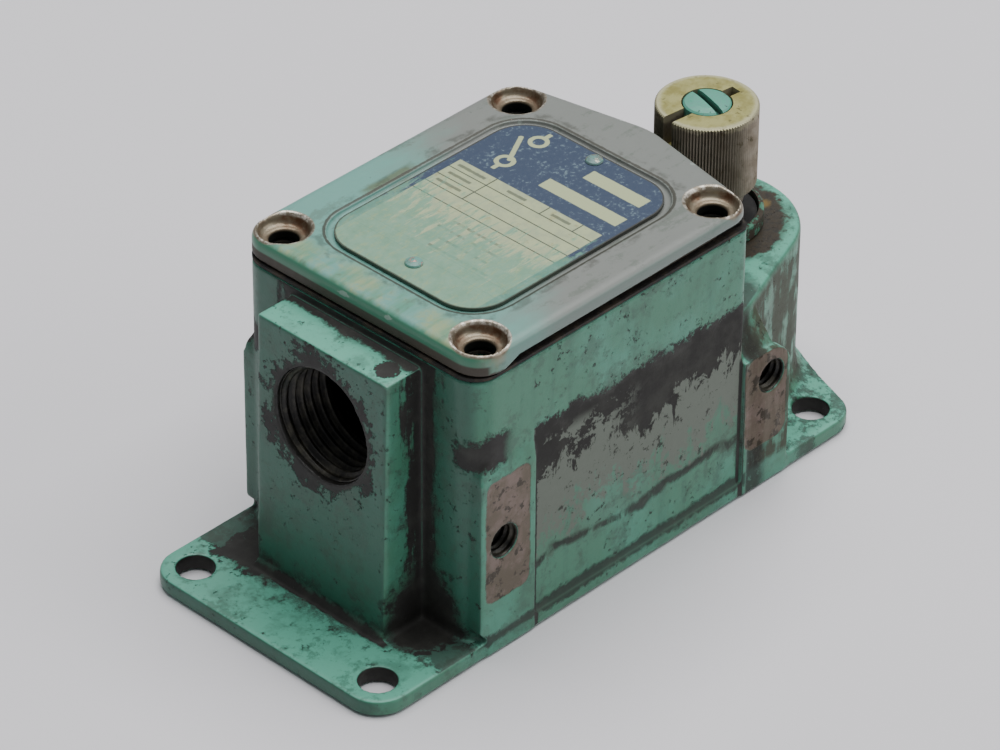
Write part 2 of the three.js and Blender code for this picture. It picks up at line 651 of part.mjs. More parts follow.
function collarBushing() {
  const inner = JOURNAL_R + GAP;
  return turned(SHAFT_X, 0, [
    [inner, CHAMBER_TOP + 0.2], [SLEEVE_R, CHAMBER_TOP + 0.2], [SLEEVE_R, SHAFT_BOSS_TOP + GAP],
    [COLLAR_R, SHAFT_BOSS_TOP + GAP], [COLLAR_R, COLLAR_TOP - 0.4], [COLLAR_R - 0.4, COLLAR_TOP],
    [COLLAR_R - COLLAR_WALL, COLLAR_TOP], [COLLAR_R - COLLAR_WALL, COLLAR_TOP - COLLAR_DISH],
    [inner, COLLAR_TOP - COLLAR_DISH],
  ], 44);
}
add("shaft_bushing", collarBushing(), "enamel");

function shaftSeal() {
  const z = COLLAR_TOP - COLLAR_DISH + GAP;
  const bore = JOURNAL_R + 0.2;
  const rim = COLLAR_R - COLLAR_WALL - GAP;
  return turned(SHAFT_X, 0, [
    [bore, z], [rim, z], [rim, z + SEAL.t], [SEAL.shoulderR, z + SEAL.t],
    [SEAL.lipR, z + SEAL.lip], [bore, z + SEAL.lip],
  ]);
}
add("shaft_seal", shaftSeal(), "rubber");

add(
  "lower_bushing",
  ring(SHAFT_X, 0, SHAFT_FOOT_R + GAP, FOOT_POCKET_R - GAP, FOOT_POCKET_Z + GAP, CHAMBER_FLOOR + 0.2, 28),
  "bronze",
);

// A split ring that snaps into a groove; the mouth faces +X.
function snapRing(x, y, inner, outer, z0, z1) {
  return cut(ring(x, y, inner, outer, z0, z1, 28), block(x, x + outer + 1, y - 0.9, y + 0.9, z0 - 1, z1 + 1));
}
function clip(x, shaftR, { outer, z0, z1 }) {
  return snapRing(x, 0, shaftR + GAP, outer, z0, z1);
}
add("retaining_ring", clip(SHAFT_X, SHAFT_LOWER_R, RETAINER), "steel");

// A round wire swept along a curve, closed at both ends.
function wire(curve, radius, steps) {
  const section = new THREE.Shape();
  for (let i = 0; i < 6; i++) {
    const a = (i / 6) * 2 * Math.PI;
    if (i) section.lineTo(radius * Math.cos(a), radius * Math.sin(a));
    else section.moveTo(radius, 0);
  }
  return solid(new THREE.ExtrudeGeometry(section, { steps, extrudePath: curve, bevelEnabled: false }));
}

function returnSpring() {
  const { coilR, wireR, turns, z0, rise, tailY } = SPRING;
  const points = [new THREE.Vector3(SHAFT_X + coilR, tailY, z0)];
  const stepsPerTurn = 10;
  for (let i = 0; i <= turns * stepsPerTurn; i++) {
    const a = (i / stepsPerTurn) * 2 * Math.PI;
    const z = z0 + (rise * i) / stepsPerTurn;
    points.push(new THREE.Vector3(SHAFT_X + coilR * Math.cos(a), coilR * Math.sin(a), z));
  }
  points.push(new THREE.Vector3(SHAFT_X - coilR, tailY, z0 + rise * turns));
  return wire(new THREE.CatmullRomCurve3(points), wireR, 44);
}
add("return_spring", returnSpring(), "steel");

// ---- crank, rocker and their pins ----
// A slotted fork that reaches along +X from its pivot, with an open end.
function fork(pivotX, z0, z1, slotHalf, { wall, slotStart, end }) {
  const half = slotHalf + wall;
  const arm = block(pivotX, pivotX + end, -half, half, z0, z1);
  return cut(arm, block(pivotX + slotStart, pivotX + end + 1, -slotHalf, slotHalf, z0 - 1, z1 + 1));
}

function crank() {
  const [z0, z1] = CRANK_Z;
  const endR = DRIVE_PIN_R + 1.4;
  const body = join(
    post(SHAFT_X, 0, CRANK_HUB_R, z0, z1, 36),
    block(SHAFT_X - CRANK_THROW, SHAFT_X, -endR, endR, z0, z1),
    post(SHAFT_X - CRANK_THROW, 0, endR, z0, z1, 24),
  );
  return cut(
    body,
    post(SHAFT_X, 0, SHAFT_LOWER_R + GAP, z0 - 1, z1 + 1, 32),
    post(SHAFT_X - CRANK_THROW, 0, DRIVE_PIN_R + GAP, z0 - 1, z1 + 1, 20),
    crankPinHole(),
  );
}
add("crank", crank(), "steel");
const rollPinHalf = CRANK_HUB_R - GAP;
const rollPin = rod("y", CRANK_PIN_R, [SHAFT_X, -rollPinHalf, CRANK_PIN_Z], 2 * rollPinHalf, 16);
add("crank_roll_pin", rollPin, "steel");
add(
  "drive_pin",
  post(SHAFT_X - CRANK_THROW, 0, DRIVE_PIN_R, CRANK_Z[0] + GAP, ROCKER_Z[1] + 0.6, 24),
  "steel",
);

function rocker() {
  const [z0, z1] = ROCKER_Z;
  const body = join(
    post(ROCKER_X, 0, ROCKER_HUB.r, ROCKER_HUB.z0, z1 + ROCKER_HUB.rise, 28),
    fork(ROCKER_X, z0, z1, DRIVE_PIN_R + FORK_PLAY, ROCKER_FORK),
    block(ROCKER_X - TAIL_THROW, ROCKER_X, -TAIL_HALF_Y, TAIL_HALF_Y, z0, z1),
    post(ROCKER_X - TAIL_THROW, 0, TAIL_HALF_Y, z0, z1, 20),
  );
  return cut(
    body,
    post(ROCKER_X, 0, ROCKER_PIN_R + GAP, z0 - 4, z1 + 4, 24),
    post(ROCKER_X - TAIL_THROW, 0, TAIL_PIN_R + GAP, z0 - 4, z1 + 4, 20),
  );
}
add("rocker", rocker(), "steel");
add("rocker_tail_pin", post(ROCKER_X - TAIL_THROW, 0, TAIL_PIN_R, ...TAIL_PIN_Z, 20), "steel");
add("rocker_pivot_pin", post(ROCKER_X, 0, ROCKER_PIN_R, ...ROCKER_PIN_Z, 24), "steel");
add("rocker_clip", clip(ROCKER_X, ROCKER_PIN_R, ROCKER_CLIP), "steel");

// ---- contact block ----
function contactBlock() {
  const { x0, x1, halfY, z0, z1 } = BLOCK;
  const body = cut(
    prism(roundedRect(x0, x1, halfY, 2), z0, z1, 0.4, 1, 3),
    block(CHANNEL.x0, x1 + 1, -CHANNEL.halfY, CHANNEL.halfY, CHANNEL.floor, z1 + 1),
  );
  const pedestal = post(ARM_X, 0, PEDESTAL.r, CHANNEL.floor - 1, PEDESTAL.top, 24);
  const sideScrews = [-TERMINAL_Y, TERMINAL_Y].flatMap((y) => [
    post(CONTACT_X, y, TERMINAL_R + GAP, TERMINAL_HOLE_FLOOR, z1 + 1, 16),
    post(BLOCK_SCREW_X, y, BLOCK_SCREW_R + GAP, z0 - 1, z1 + 1, 20),
  ]);
  return cut(
    join(body, pedestal),
    post(ARM_X, 0, ARM_PIN_R + GAP, ARM_PIN_Z[0] - GAP, PEDESTAL.top + 1, 20),
    post(COMMON_X, 0, TERMINAL_R + GAP, TERMINAL_HOLE_FLOOR, z1 + 1, 16),
    ...sideScrews,
  );
}
add("contact_block", contactBlock(), "phenolic");

// A fixed contact: a strip bent over the block's side wall, with its button facing the arm.
function fixedContact() {
  const wallY = CHANNEL.halfY - GAP;
  const topZ = BLOCK.z1 + GAP;
  const strip = join(
    block(
      CONTACT_X - STRIP_HALF_W, CONTACT_X + STRIP_HALF_W, wallY - STRIP_T, wallY,
      STRIP_FOOT_Z, topZ + STRIP_T,
    ),
    block(
      CONTACT_X - STRIP_LUG_HALF_W, CONTACT_X + STRIP_LUG_HALF_W, wallY - STRIP_T, STRIP_END_Y,
      topZ, topZ + STRIP_T,
    ),
    rod("y", CONTACT_BUTTON_R, [CONTACT_X, CONTACT_FACE_Y, CONTACT_Z], wallY - 0.5 - CONTACT_FACE_Y, 20),
  );
  return cut(strip, post(CONTACT_X, TERMINAL_Y, TERMINAL_R + GAP, topZ - 1, topZ + 2, 16));
}

function commonContact() {
  const wallX = CHANNEL.x0 + GAP;
  const innerX = wallX + STRIP_T - 0.2;
  const topZ = BLOCK.z1 + GAP;
  const strip = join(
    block(wallX, innerX, -STRIP_HALF_W, STRIP_HALF_W, STRIP_FOOT_Z, topZ + STRIP_T),
    block(BLOCK.x0 + 0.6, innerX, -STRIP_LUG_HALF_W, STRIP_LUG_HALF_W, topZ, topZ + STRIP_T),
  );
  return cut(strip, post(COMMON_X, 0, TERMINAL_R + GAP, topZ - 1, topZ + 2, 16));
}

function terminalClamp(x, y) {
  const z = BLOCK.z1 + 2 * GAP + STRIP_T;
  const { halfX, halfY, t } = CLAMP;
  const plate = block(x - halfX, x + halfX, y - halfY, y + halfY, z, z + t);
  return cut(plate, post(x, y, TERMINAL_R + GAP, z - 1, z + 2, 16));
}

// A slotted pan-head screw standing on end; the slot lies along X.
function panScrew(x, y, shankR, tip, { r, seat, h }) {
  const screw = turned(x, y, [
    [0, tip], [shankR * 0.7, tip], [shankR, tip + 0.6], [shankR, seat], [r, seat],
    [r, seat + h * 0.6], [r * 0.75, seat + h], [0, seat + h],
  ], 16);
  return cut(screw, block(x - 5, x + 5, y - 0.45, y + 0.45, seat + h * 0.45, seat + h + 1));
}

add("fixed_contact_left", fixedContact(), "brass");
add("fixed_contact_right", mirrored(fixedContact()), "brass");
add("common_contact", commonContact(), "brass");

const terminals = [
  ["left", CONTACT_X, TERMINAL_Y],
  ["right", CONTACT_X, -TERMINAL_Y],
  ["common", COMMON_X, 0],
];
for (const [side, x, y] of terminals) {
  add("terminal_clamp_" + side, terminalClamp(x, y), "brass");
  add("terminal_screw_" + side, panScrew(x, y, TERMINAL_R, TERMINAL_TIP, TERMINAL_HEAD), "brass");
}
for (const [side, y] of [["left", TERMINAL_Y], ["right", -TERMINAL_Y]]) {
  const head = { ...BLOCK_SCREW_HEAD, seat: BLOCK.z1 + GAP };
  add("block_screw_" + side, panScrew(BLOCK_SCREW_X, y, BLOCK_SCREW_R, BLOCK_SCREW_TIP, head), "steel");
}

// ---- moving contact ----
function contactArm() {
  const [z0, z1] = ARM_Z;
  const body = join(
    post(ARM_X, 0, ARM_HUB.r, ARM_HUB.z0, ARM_HUB.z1, 28),
    fork(ARM_X, z0, z1, TAIL_PIN_R + FORK_PLAY, ARM_FORK),
    block(ARM_X - ARM_REACH, ARM_X, -ARM_HALF_Y, ARM_HALF_Y, z0, z1),
  );
  return cut(
    body,
    post(ARM_X, 0, ARM_PIN_R + GAP, ARM_HUB.z0 - 1, ARM_HUB.z1 + 1, 24),
    rod("y", CONTACT_SHANK_R + GAP, [CONTACT_X, -4, CONTACT_Z], 8, 16),
  );
}
add("contact_arm", contactArm(), "phenolic");

function movingContact() {
  const headY = ARM_HALF_Y + GAP;
  const shank = rod("y", CONTACT_SHANK_R, [CONTACT_X, -2, CONTACT_Z], 4, 16);
  const head = rod("y", CONTACT_BUTTON_R, [CONTACT_X, headY, CONTACT_Z], 0.7, 20);
  return join(shank, head, mirrored(head));
}
add("moving_contact", movingContact(), "silver");
add("contact_pivot_pin", post(ARM_X, 0, ARM_PIN_R, ...ARM_PIN_Z, 20), "steel");
add("contact_arm_clip", clip(ARM_X, ARM_PIN_R, ARM_CLIP), "steel");

export default limitSwitch;
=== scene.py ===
"""The finish of a worn rotary limit switch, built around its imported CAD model."""

import math

import bpy
from mathutils import Matrix, Vector


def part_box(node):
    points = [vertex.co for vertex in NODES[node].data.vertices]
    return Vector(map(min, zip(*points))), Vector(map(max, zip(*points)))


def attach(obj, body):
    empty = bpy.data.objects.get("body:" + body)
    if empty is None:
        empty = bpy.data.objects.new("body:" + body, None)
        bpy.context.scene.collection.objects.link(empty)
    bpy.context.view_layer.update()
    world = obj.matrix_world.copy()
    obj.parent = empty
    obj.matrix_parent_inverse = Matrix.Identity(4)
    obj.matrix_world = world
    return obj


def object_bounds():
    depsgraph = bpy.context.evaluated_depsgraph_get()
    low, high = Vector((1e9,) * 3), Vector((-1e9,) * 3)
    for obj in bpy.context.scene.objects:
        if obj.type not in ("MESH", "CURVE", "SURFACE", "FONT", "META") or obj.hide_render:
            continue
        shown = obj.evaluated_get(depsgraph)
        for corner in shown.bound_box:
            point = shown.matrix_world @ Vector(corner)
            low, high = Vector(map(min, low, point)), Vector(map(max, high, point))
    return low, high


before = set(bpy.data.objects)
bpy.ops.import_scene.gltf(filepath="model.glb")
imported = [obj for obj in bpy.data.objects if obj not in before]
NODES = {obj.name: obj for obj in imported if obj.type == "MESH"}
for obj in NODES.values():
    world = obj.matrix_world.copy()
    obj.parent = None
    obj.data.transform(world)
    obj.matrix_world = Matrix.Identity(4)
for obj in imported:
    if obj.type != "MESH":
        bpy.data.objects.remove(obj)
CAD_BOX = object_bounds()
MM = 0.001

# ---- places in millimetres, a few read from the imported model and the rest given ----
def millimetres(node):
    low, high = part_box(node)
    return low / MM, high / MM


COVER_HIGH = millimetres("cover")[1]
HUB_LOW, HUB_HIGH = millimetres("knurled_hub")
SHAFT_X = (HUB_LOW.x + HUB_HIGH.x) / 2

MOUNT_X = 54.8
MOUNT_Y = 22.2
MOUNT_HOLE_R = 3.35
BOSS_FRONT = -46.7
BOSS_TOP = 55
BOSS_HALF_Y = 15.4
CONDUIT_Z = 39.6
CONDUIT_R = 10.7
SIDE_HOLE_Z = 22.8
SIDE_HOLE_R = 3.2
SIDE_HOLES_X = (-30.9, 36.3)
SHAFT_BOSS_TOP = 36.2
SCREWS_X = (-31.45, 25.25)
SCREW_Y = 23.1
PLATE_CENTRE = (-2.9, 0)
PAD_FACE_Y = 28.3
SAND_GRAIN = 6

# ---- colours, linear ----
TURQUOISE = (0.080, 0.310, 0.222)
SEA_GREEN = (0.054, 0.200, 0.122)
DEEP_GREEN = (0.022, 0.102, 0.068)
GRIME = (0.014, 0.013, 0.011)
BROWN_GRIME = (0.040, 0.030, 0.018)
PRIMER_GREY = (0.118, 0.140, 0.110)
COVER_GREY = (0.205, 0.216, 0.200)
COVER_BLUE = (0.150, 0.345, 0.295)
STAIN_YELLOW = (0.330, 0.370, 0.170)
BARE_BROWN = (0.120, 0.096, 0.068)
BARE_PINK = (0.190, 0.142, 0.120)
BRIGHT_METAL = (0.780, 0.740, 0.650)
PLATE_BLUE = (0.040, 0.060, 0.105)
PLATE_PALE = (0.430, 0.480, 0.280)
INK = (0.060, 0.070, 0.050)


class Value:
    """A number or a vector in a material's nodes, used like a plain number."""

    def __init__(self, graph, socket):
        self.graph = graph
        self.socket = socket

    def __add__(self, other):
        return self.graph.math("ADD", self, other)

    def __sub__(self, other):
        return self.graph.math("SUBTRACT", self, other)

    def __rsub__(self, other):
        return self.graph.math("SUBTRACT", other, self)

    def __mul__(self, other):
        return self.graph.math("MULTIPLY", self, other)

    def __abs__(self):
        return self.graph.math("ABSOLUTE", self)

    __radd__ = __add__
    __rmul__ = __mul__


class Graph:
    """The nodes of one material. Lengths are in millimetres, in the frame's own coordinates."""

    def __init__(self, name):
        self.material = bpy.data.materials.new(name)
        self.material.use_nodes = True
        self.tree = self.material.node_tree
        self.tree.nodes.clear()
        coordinates = self.tree.nodes.new("ShaderNodeTexCoord")
        scaled = self.tree.nodes.new("ShaderNodeVectorMath")
        scaled.operation = "SCALE"
        scaled.inputs["Scale"].default_value = 1 / MM
        self.tree.links.new(coordinates.outputs["Object"], scaled.inputs[0])
        self.place = scaled.outputs[0]
        self.x, self.y, self.z = self.split(self.place)
        self.nx, self.ny, self.nz = self.split(coordinates.outputs["Normal"])

    def split(self, socket):
        node = self.tree.nodes.new("ShaderNodeSeparateXYZ")
        self.tree.links.new(socket, node.inputs[0])
        return [Value(self, out) for out in node.outputs]

    def put(self, value, socket):
        if isinstance(value, Value):
            self.tree.links.new(value.socket, socket)
        elif isinstance(value, tuple):
            socket.default_value = (*value, 1)
        else:
            socket.default_value = value

    def math(self, operation, *values):
        node = self.tree.nodes.new("ShaderNodeMath")
        node.operation = operation
        for value, socket in zip(values, node.inputs):
            self.put(value, socket)
        return Value(self, node.outputs[0])

    def ramp(self, value, start, end):
        """0 where value is at start, 1 where it is at end, smooth between."""
        node = self.tree.nodes.new("ShaderNodeMapRange")
        node.interpolation_type = "SMOOTHSTEP"
        self.put(value, node.inputs["Value"])
        node.inputs["From Min"].default_value = start
        node.inputs["From Max"].default_value = end
        return Value(self, node.outputs["Result"])

    def noise(self, size, detail=5, roughness=0.6, seed=0, stretch=(1, 1, 1), distortion=0.0):
        """Cloudy noise between about 0.2 and 0.8, whose blobs are about size across."""
        mapping = self.tree.nodes.new("ShaderNodeMapping")
        mapping.inputs["Location"].default_value = (seed * 17.3, seed * 9.1, seed * 5.7)
        mapping.inputs["Scale"].default_value = [1 / (size * s) for s in stretch]
        self.tree.links.new(self.place, mapping.inputs["Vector"])
        node = self.tree.nodes.new("ShaderNodeTexNoise")
        node.inputs["Scale"].default_value = 1
        node.inputs["Detail"].default_value = detail
        node.inputs["Roughness"].default_value = roughness
        node.inputs["Distortion"].default_value = distortion
        self.tree.links.new(mapping.outputs[0], node.inputs["Vector"])
        return Value(self, node.outputs[0])

    def crevice(self, reach, samples=6):
        """1 deep in a corner and 0 in the open."""
        node = self.tree.nodes.new("ShaderNodeAmbientOcclusion")
        node.samples = samples
        node.only_local = True
        node.inputs["Distance"].default_value = reach * MM
        return 1 - Value(self, node.outputs["AO"])

    def edge(self):
        """Above 0.5 on outer edges and below it in inner corners."""
        node = self.tree.nodes.new("ShaderNodeNewGeometry")
        return Value(self, node.outputs["Pointiness"])

    def mix(self, factor, a, b):
        node = self.tree.nodes.new("ShaderNodeMix")
        node.data_type = "RGBA"
        self.put(factor, node.inputs[0])
        self.put(a, node.inputs[6])
        self.put(b, node.inputs[7])
        return Value(self, node.outputs[2])

    def most(self, *values):
        total = values[0]
        for value in values[1:]:
            total = self.math("MAXIMUM", total, value)
        return total

    def reach(self, u, v):
        """The length of the vector (u, v)."""
        return self.math("SQRT", u * u + v * v)

    def rounded(self, u, v, centre, half, radius):
        """Distance outside a rounded rectangle in the plane of u and v, negative inside."""
        du = self.math("MAXIMUM", abs(u - centre[0]) - (half[0] - radius), 0)
        dv = self.math("MAXIMUM", abs(v - centre[1]) - (half[1] - radius), 0)
        return self.reach(du, dv) - radius

    def surface(self, color, roughness, metallic=0.0, height=None, depth=0.1, **sockets):
        """Finishes the material; height is a 0 to 1 relief of that depth in millimetres."""
        shader = self.tree.nodes.new("ShaderNodeBsdfPrincipled")
        output = self.tree.nodes.new("ShaderNodeOutputMaterial")
        self.tree.links.new(shader.outputs[0], output.inputs[0])
        self.put(color, shader.inputs["Base Color"])
        self.put(roughness, shader.inputs["Roughness"])
        self.put(metallic, shader.inputs["Metallic"])
        for name, value in sockets.items():
            self.put(value, shader.inputs[name])
        if height is not None:
            bump = self.tree.nodes.new("ShaderNodeBump")
            bump.inputs["Distance"].default_value = depth * MM
            bump.inputs["Strength"].default_value = 1
            self.put(height, bump.inputs["Height"])
            self.tree.links.new(bump.outputs[0], shader.inputs["Normal"])
        return self.material


# ---- painted castings ----
def housing_finish():
    g = Graph("cast_enamel")
    x, y, z = g.x, g.y, g.z
    across = abs(y)
    broad = g.noise(16, 3, seed=1)
    medium = g.noise(5, 6, 0.65, seed=2)
    fine = g.noise(1.3, 6, 0.7, seed=3)
    grain = g.noise(0.45, 3, 0.6, seed=4)
    ragged = (medium - 0.5) * 9 + (fine - 0.5) * 3
    up = g.ramp(g.nz, 0.6, 0.9)
    ahead = g.ramp(g.nx, -0.6, -0.9)
    aside = g.ramp(abs(g.ny), 0.6, 0.9)

    # enamel: painted light on the top faces, greener on the sides, painted shade on the faces towards the
    # conduit end
    streak = g.noise(3, 4, 0.6, seed=5, stretch=(1, 1, 7))
    # painted light: top faces fully turquoise, plus random turquoise patches
    lit_top_and_patches = g.most(up, g.ramp(broad + (fine - 0.5) * 0.3, 0.42, 0.72) * 0.6)
    paint = g.mix(lit_top_and_patches, SEA_GREEN, TURQUOISE)
    # painted light: top faces lighter still
    paint = g.mix(up * 0.8, paint, (0.125, 0.420, 0.305))
    # painted shade: faces towards the conduit end darker
    paint = g.mix(ahead * 0.85, paint, DEEP_GREEN)
    paint = g.mix(g.ramp(medium + (fine - 0.5) * 0.6, 0.5, 0.66) * 0.55, paint, (0.034, 0.085, 0.055))
    paint = g.mix(g.ramp(streak, 0.5, 0.7) * (1 - up) * 0.3, paint, DEEP_GREEN)
    stain = g.ramp(g.noise(8, 5, 0.65, seed=10), 0.5, 0.68)
    paint = g.mix(stain * 0.45, paint, (0.034, 0.066, 0.045))
    edge = g.ramp(g.edge() + (fine - 0.5) * 0.05, 0.52, 0.57)
    paint = g.mix(edge * 0.35, paint, (0.17, 0.39, 0.29))

    # the rubbed band along each long wall
    wall = aside * g.ramp(x, -38, -36.5) * g.ramp(x, 31, 29.5) * g.ramp(across, 27, 27.5)
    behind_pad = g.ramp(x + (fine - 0.5), -23.6, -23)
    drag = g.noise(7, 6, 0.68, seed=6, stretch=(0.7, 1, 1.8), distortion=0.8)
    wiped = g.ramp(drag + (fine - 0.5) * 0.5 + (z - 19) * 0.025, 0.42, 0.56)
    rubbed = wall * behind_pad * g.ramp(z + ragged, 12.5, 14) * g.ramp(z + ragged, 41.5, 39.5)
    paint = g.mix(rubbed * (wiped * 0.75 + 0.25), paint, PRIMER_GREY)
    band_foot = z + (medium - 0.5) * 8 + (drag - 0.5) * 30 + (fine - 0.5) * 3
    band_top = z + (medium - 0.5) * 7 + (fine - 0.5) * 7
    gaps = g.ramp(g.noise(5, 6, 0.7, seed=23), 0.51, 0.54) * g.ramp(x + ragged, 4, -6) * g.ramp(z, 39.5, 36.5)
    worn_band = wall * g.ramp(band_foot, 30.5, 31.7) * g.ramp(band_top, 42.2, 41) * behind_pad * (1 - gaps)
    flecks = wall * behind_pad * g.ramp(z, 13, 16) * g.ramp(g.noise(3, 6, 0.75, seed=7), 0.61, 0.65)
    tide = (broad - 0.5) * 9 + (drag - 0.5) * 3 + (z - 13)
    tide_mark = wall * behind_pad * g.ramp(abs(tide) + (fine - 0.5) * 1.6, 1.4, 0.3) * g.ramp(drag, 0.3, 0.5)
    foot = wall * g.ramp(abs(z - 3.5) + (medium - 0.5) * 4 + (fine - 0.5) * 2, 1.5, 0.6)
    # painted shade along the steps at the sides of the pads
    pad_step_shade = aside * g.ramp(z, 41, 40) * g.most(
        g.ramp(abs(x + 22.9) + (fine - 0.5) * 0.8, 0.6, 0.3),
        g.ramp(abs(x - 28.9) + (fine - 0.5) * 0.4, 0.75, 0.45) * g.ramp(z, 30, 29),
    )

    # dirt in the corners and chips in the open
    corner = g.crevice(7)
    crusted = g.ramp(corner + (medium - 0.5) * 1.2 + (fine - 0.5) * 0.5, 0.29, 0.36)
    chips = g.ramp(g.noise(1.7, 6, 0.75, seed=8), 0.61, 0.65) * g.ramp(broad, 0.40, 0.52)
    specks = g.ramp(g.noise(0.8, 5, 0.7, seed=24), 0.64, 0.68) * g.ramp(medium, 0.45, 0.6)
    pile = g.reach(g.reach((x + 39) * 0.6, (across - 18) * 0.75), (z - 4) * 0.42)
    foot_pile = g.ramp(pile + (medium - 0.5) * 7 + (fine - 0.5) * 3, 5.4, 4.2)
    over_pad = g.reach((z - 41.6) * 0.9, g.math("MAXIMUM", 25.5 - across, 0)) + ragged * 0.7
    shoulder = g.ramp(over_pad + (fine - 0.5) * 4, 3.4, 2.2) * g.ramp(x + ragged * 0.8, -27, -31)
    shoulder = shoulder * g.ramp(across, 18, 20)
    beside_boss = across - BOSS_HALF_Y + (streak - 0.5) * 10 + (fine - 0.5) * 5
    crease = ahead * g.ramp(x, -40, -38.5) * g.ramp(beside_boss, 3.4, 2.2)
    boss_side = aside * g.ramp(across, 17, 16) * g.ramp(x, -35, -37) * g.ramp(z, 57, 56)
    crease = g.most(crease, boss_side * g.ramp(x + (streak - 0.5) * 12 + (fine - 0.5) * 5, -41.4, -40.2))
    boss_foot = g.ramp(abs(x - BOSS_FRONT + 0.9) + (medium - 0.5) * 2 + (fine - 0.5), 0.95, 0.5)
    boss_foot = boss_foot * g.ramp(z, 5.4, 4.8) * g.ramp(across, 17.5, 16.5)

    # round the conduit entry, on the plate beside the box, and a chip on the boss top
    from_conduit = g.reach(y, z - CONDUIT_Z)
    lip = ahead * g.ramp(from_conduit + (medium - 0.5) * 19 + (fine - 0.5) * 12, 13.7, 12.5)
    lip = g.most(lip, ahead * g.ramp(from_conduit + (fine - 0.5) * 2, 11.9, 11.3)) * g.ramp(z, 15, 20)
    plate = up * g.ramp(z, 6, 4) * g.ramp(x, -36, -38)
    scab = g.reach((x + 45.5) * 0.8, (y - 17) * 0.5) + (medium - 0.5) * 13 + (fine - 0.5) * 6
    plate_scab = plate * g.ramp(scab, 4.4, 3.4)
    plate_edge = plate * g.ramp(x + (medium - 0.5) * 9 + (fine - 0.5) * 5 + y * 0.05, -47.6, -46.4) * 0.8
    boss_top = up * g.ramp(abs(z - BOSS_TOP), 1, 0.5)
    from_chip = g.reach((x + 41.3) * 0.8, y + 11.6) + (medium - 0.5) * 9 + (fine - 0.5) * 4
    boss_chip = boss_top * g.ramp(from_chip, 2.3, 1.9)
    boss_back = boss_top * g.ramp(x + (medium - 0.5) * 5 + (fine - 0.5) * 3, -40.0, -38.8)
    hole_x = abs(abs(x) - MOUNT_X)
    hole_y = abs(across - MOUNT_Y)
    from_hole = g.reach(hole_x, hole_y)
    # painted shade on the walls of the mounting holes
    mount_hole_shade = g.ramp(from_hole, MOUNT_HOLE_R + 0.25, MOUNT_HOLE_R + 0.05) * g.ramp(z, 3.3, 2.9)

    # the shaft boss: dark oily top inside a clean rim, olive streaks down its side
    from_shaft = g.reach(x - SHAFT_X, y)
    crown = g.ramp(z, SHAFT_BOSS_TOP - 1.6, SHAFT_BOSS_TOP - 0.8) * g.ramp(x, 27, 31) * up
    oil = crown * g.ramp(from_shaft + (medium - 0.5) * 7 + (fine - 0.5) * 3, 15.8, 14.4)
    flank = g.ramp(z, SHAFT_BOSS_TOP, SHAFT_BOSS_TOP - 2) * g.ramp(x, 30.5, 31.5) * g.ramp(z, 4, 6)
    flank_streak = flank * g.ramp(streak + (medium - 0.5) * 0.9, 0.34, 0.54)
    behind_box = g.ramp(x, 30, 30.6) * g.ramp(x + ragged * 0.6, 36.5, 33) * g.ramp(fine, 0.25, 0.45)
    behind_box = g.most(behind_box, crown * g.ramp(x + ragged, 43, 39) * g.ramp(fine, 0.3, 0.4))
    rear_plate = g.ramp(z, 7, 4) * g.ramp(x, 42, 46) * g.ramp(medium + (fine - 0.5) * 0.6, 0.46, 0.56)

    # machined pads and drilled holes
    pad_places = ((SIDE_HOLES_X[0] + 0.8, 23.8, 5.2, 12.5, 1.6), (34.9, 18.9, 5.3, 9.6, 2.4))
    pads = []
    for cx, cz, hx, hz, r in pad_places:
        inside = g.rounded(x, z, (cx, cz), (hx, hz), r) + (medium - 0.5) * 1.6 + (fine - 0.5) * 0.6
        pads.append(g.ramp(inside, 0.25, -0.15))
    bare = g.most(*pads) * aside * g.ramp(across, 28.3, 28.45)
    # painted shade inside the conduit bore
    conduit_bore_shade = g.ramp(from_conduit, 11.3, 10.9) * g.ramp(x, -30, -33)
    bare_color = g.mix(g.ramp(medium, 0.4, 0.65), BARE_BROWN, BARE_PINK)
    blotch = g.ramp(g.noise(3.2, 5, 0.65, seed=9), 0.53, 0.60)
    bare_color = g.mix(blotch * 0.9, bare_color, (0.040, 0.032, 0.022))
    bare_color = g.mix(g.ramp(fine, 0.55, 0.75) * 0.4, bare_color, (0.26, 0.225, 0.19))

    # dark: dirt, crust, chips and marks, plus painted shade at the pad steps and in the mounting holes
    dark = g.most(
        crusted, chips * 0.85, specks * 0.7, worn_band, flecks * 0.85, tide_mark * 0.9, foot * 0.85,
        pad_step_shade, foot_pile, shoulder, crease, boss_foot, lip, plate_scab, plate_edge, boss_chip, boss_back,
        mount_hole_shade, behind_box * 0.85, rear_plate * 0.6,
    )
    dark_color = g.mix(g.ramp(medium, 0.4, 0.7), GRIME, (0.030, 0.030, 0.025))
    lint = g.ramp(g.noise(0.6, 3, 0.6, seed=19), 0.74, 0.76) * crusted
    dark_color = g.mix(lint, dark_color, (0.45, 0.44, 0.40))
    color = g.mix(flank_streak * 0.95, paint, (0.040, 0.046, 0.024))
    color = g.mix(dark * (1 - bare), color, dark_color)
    ochre = g.ramp(g.reach(x - 60.4, y + 4.2) + (fine - 0.5) * 2, 2.0, 0.6)
    oil_color = g.mix(ochre * 0.7, g.mix(g.ramp(fine, 0.4, 0.7), BROWN_GRIME, GRIME), (0.22, 0.14, 0.03))
    color = g.mix(oil * g.ramp(fine, 0.15, 0.35), color, oil_color)
    color = g.mix(bare, color, bare_color)
    # painted shade inside the conduit bore
    color = g.mix(conduit_bore_shade, color, GRIME)
    relief = (1 - g.most(dark, rubbed * 0.6, bare)) * 0.8 + grain * 0.12 + fine * 0.3
    roughness = 0.40 + dark * 0.26 + rubbed * 0.14 + bare * 0.02 + flank_streak * 0.25 + (fine - 0.5) * 0.25
    return g.surface(color, roughness, bare * 0.55, relief, 0.16)


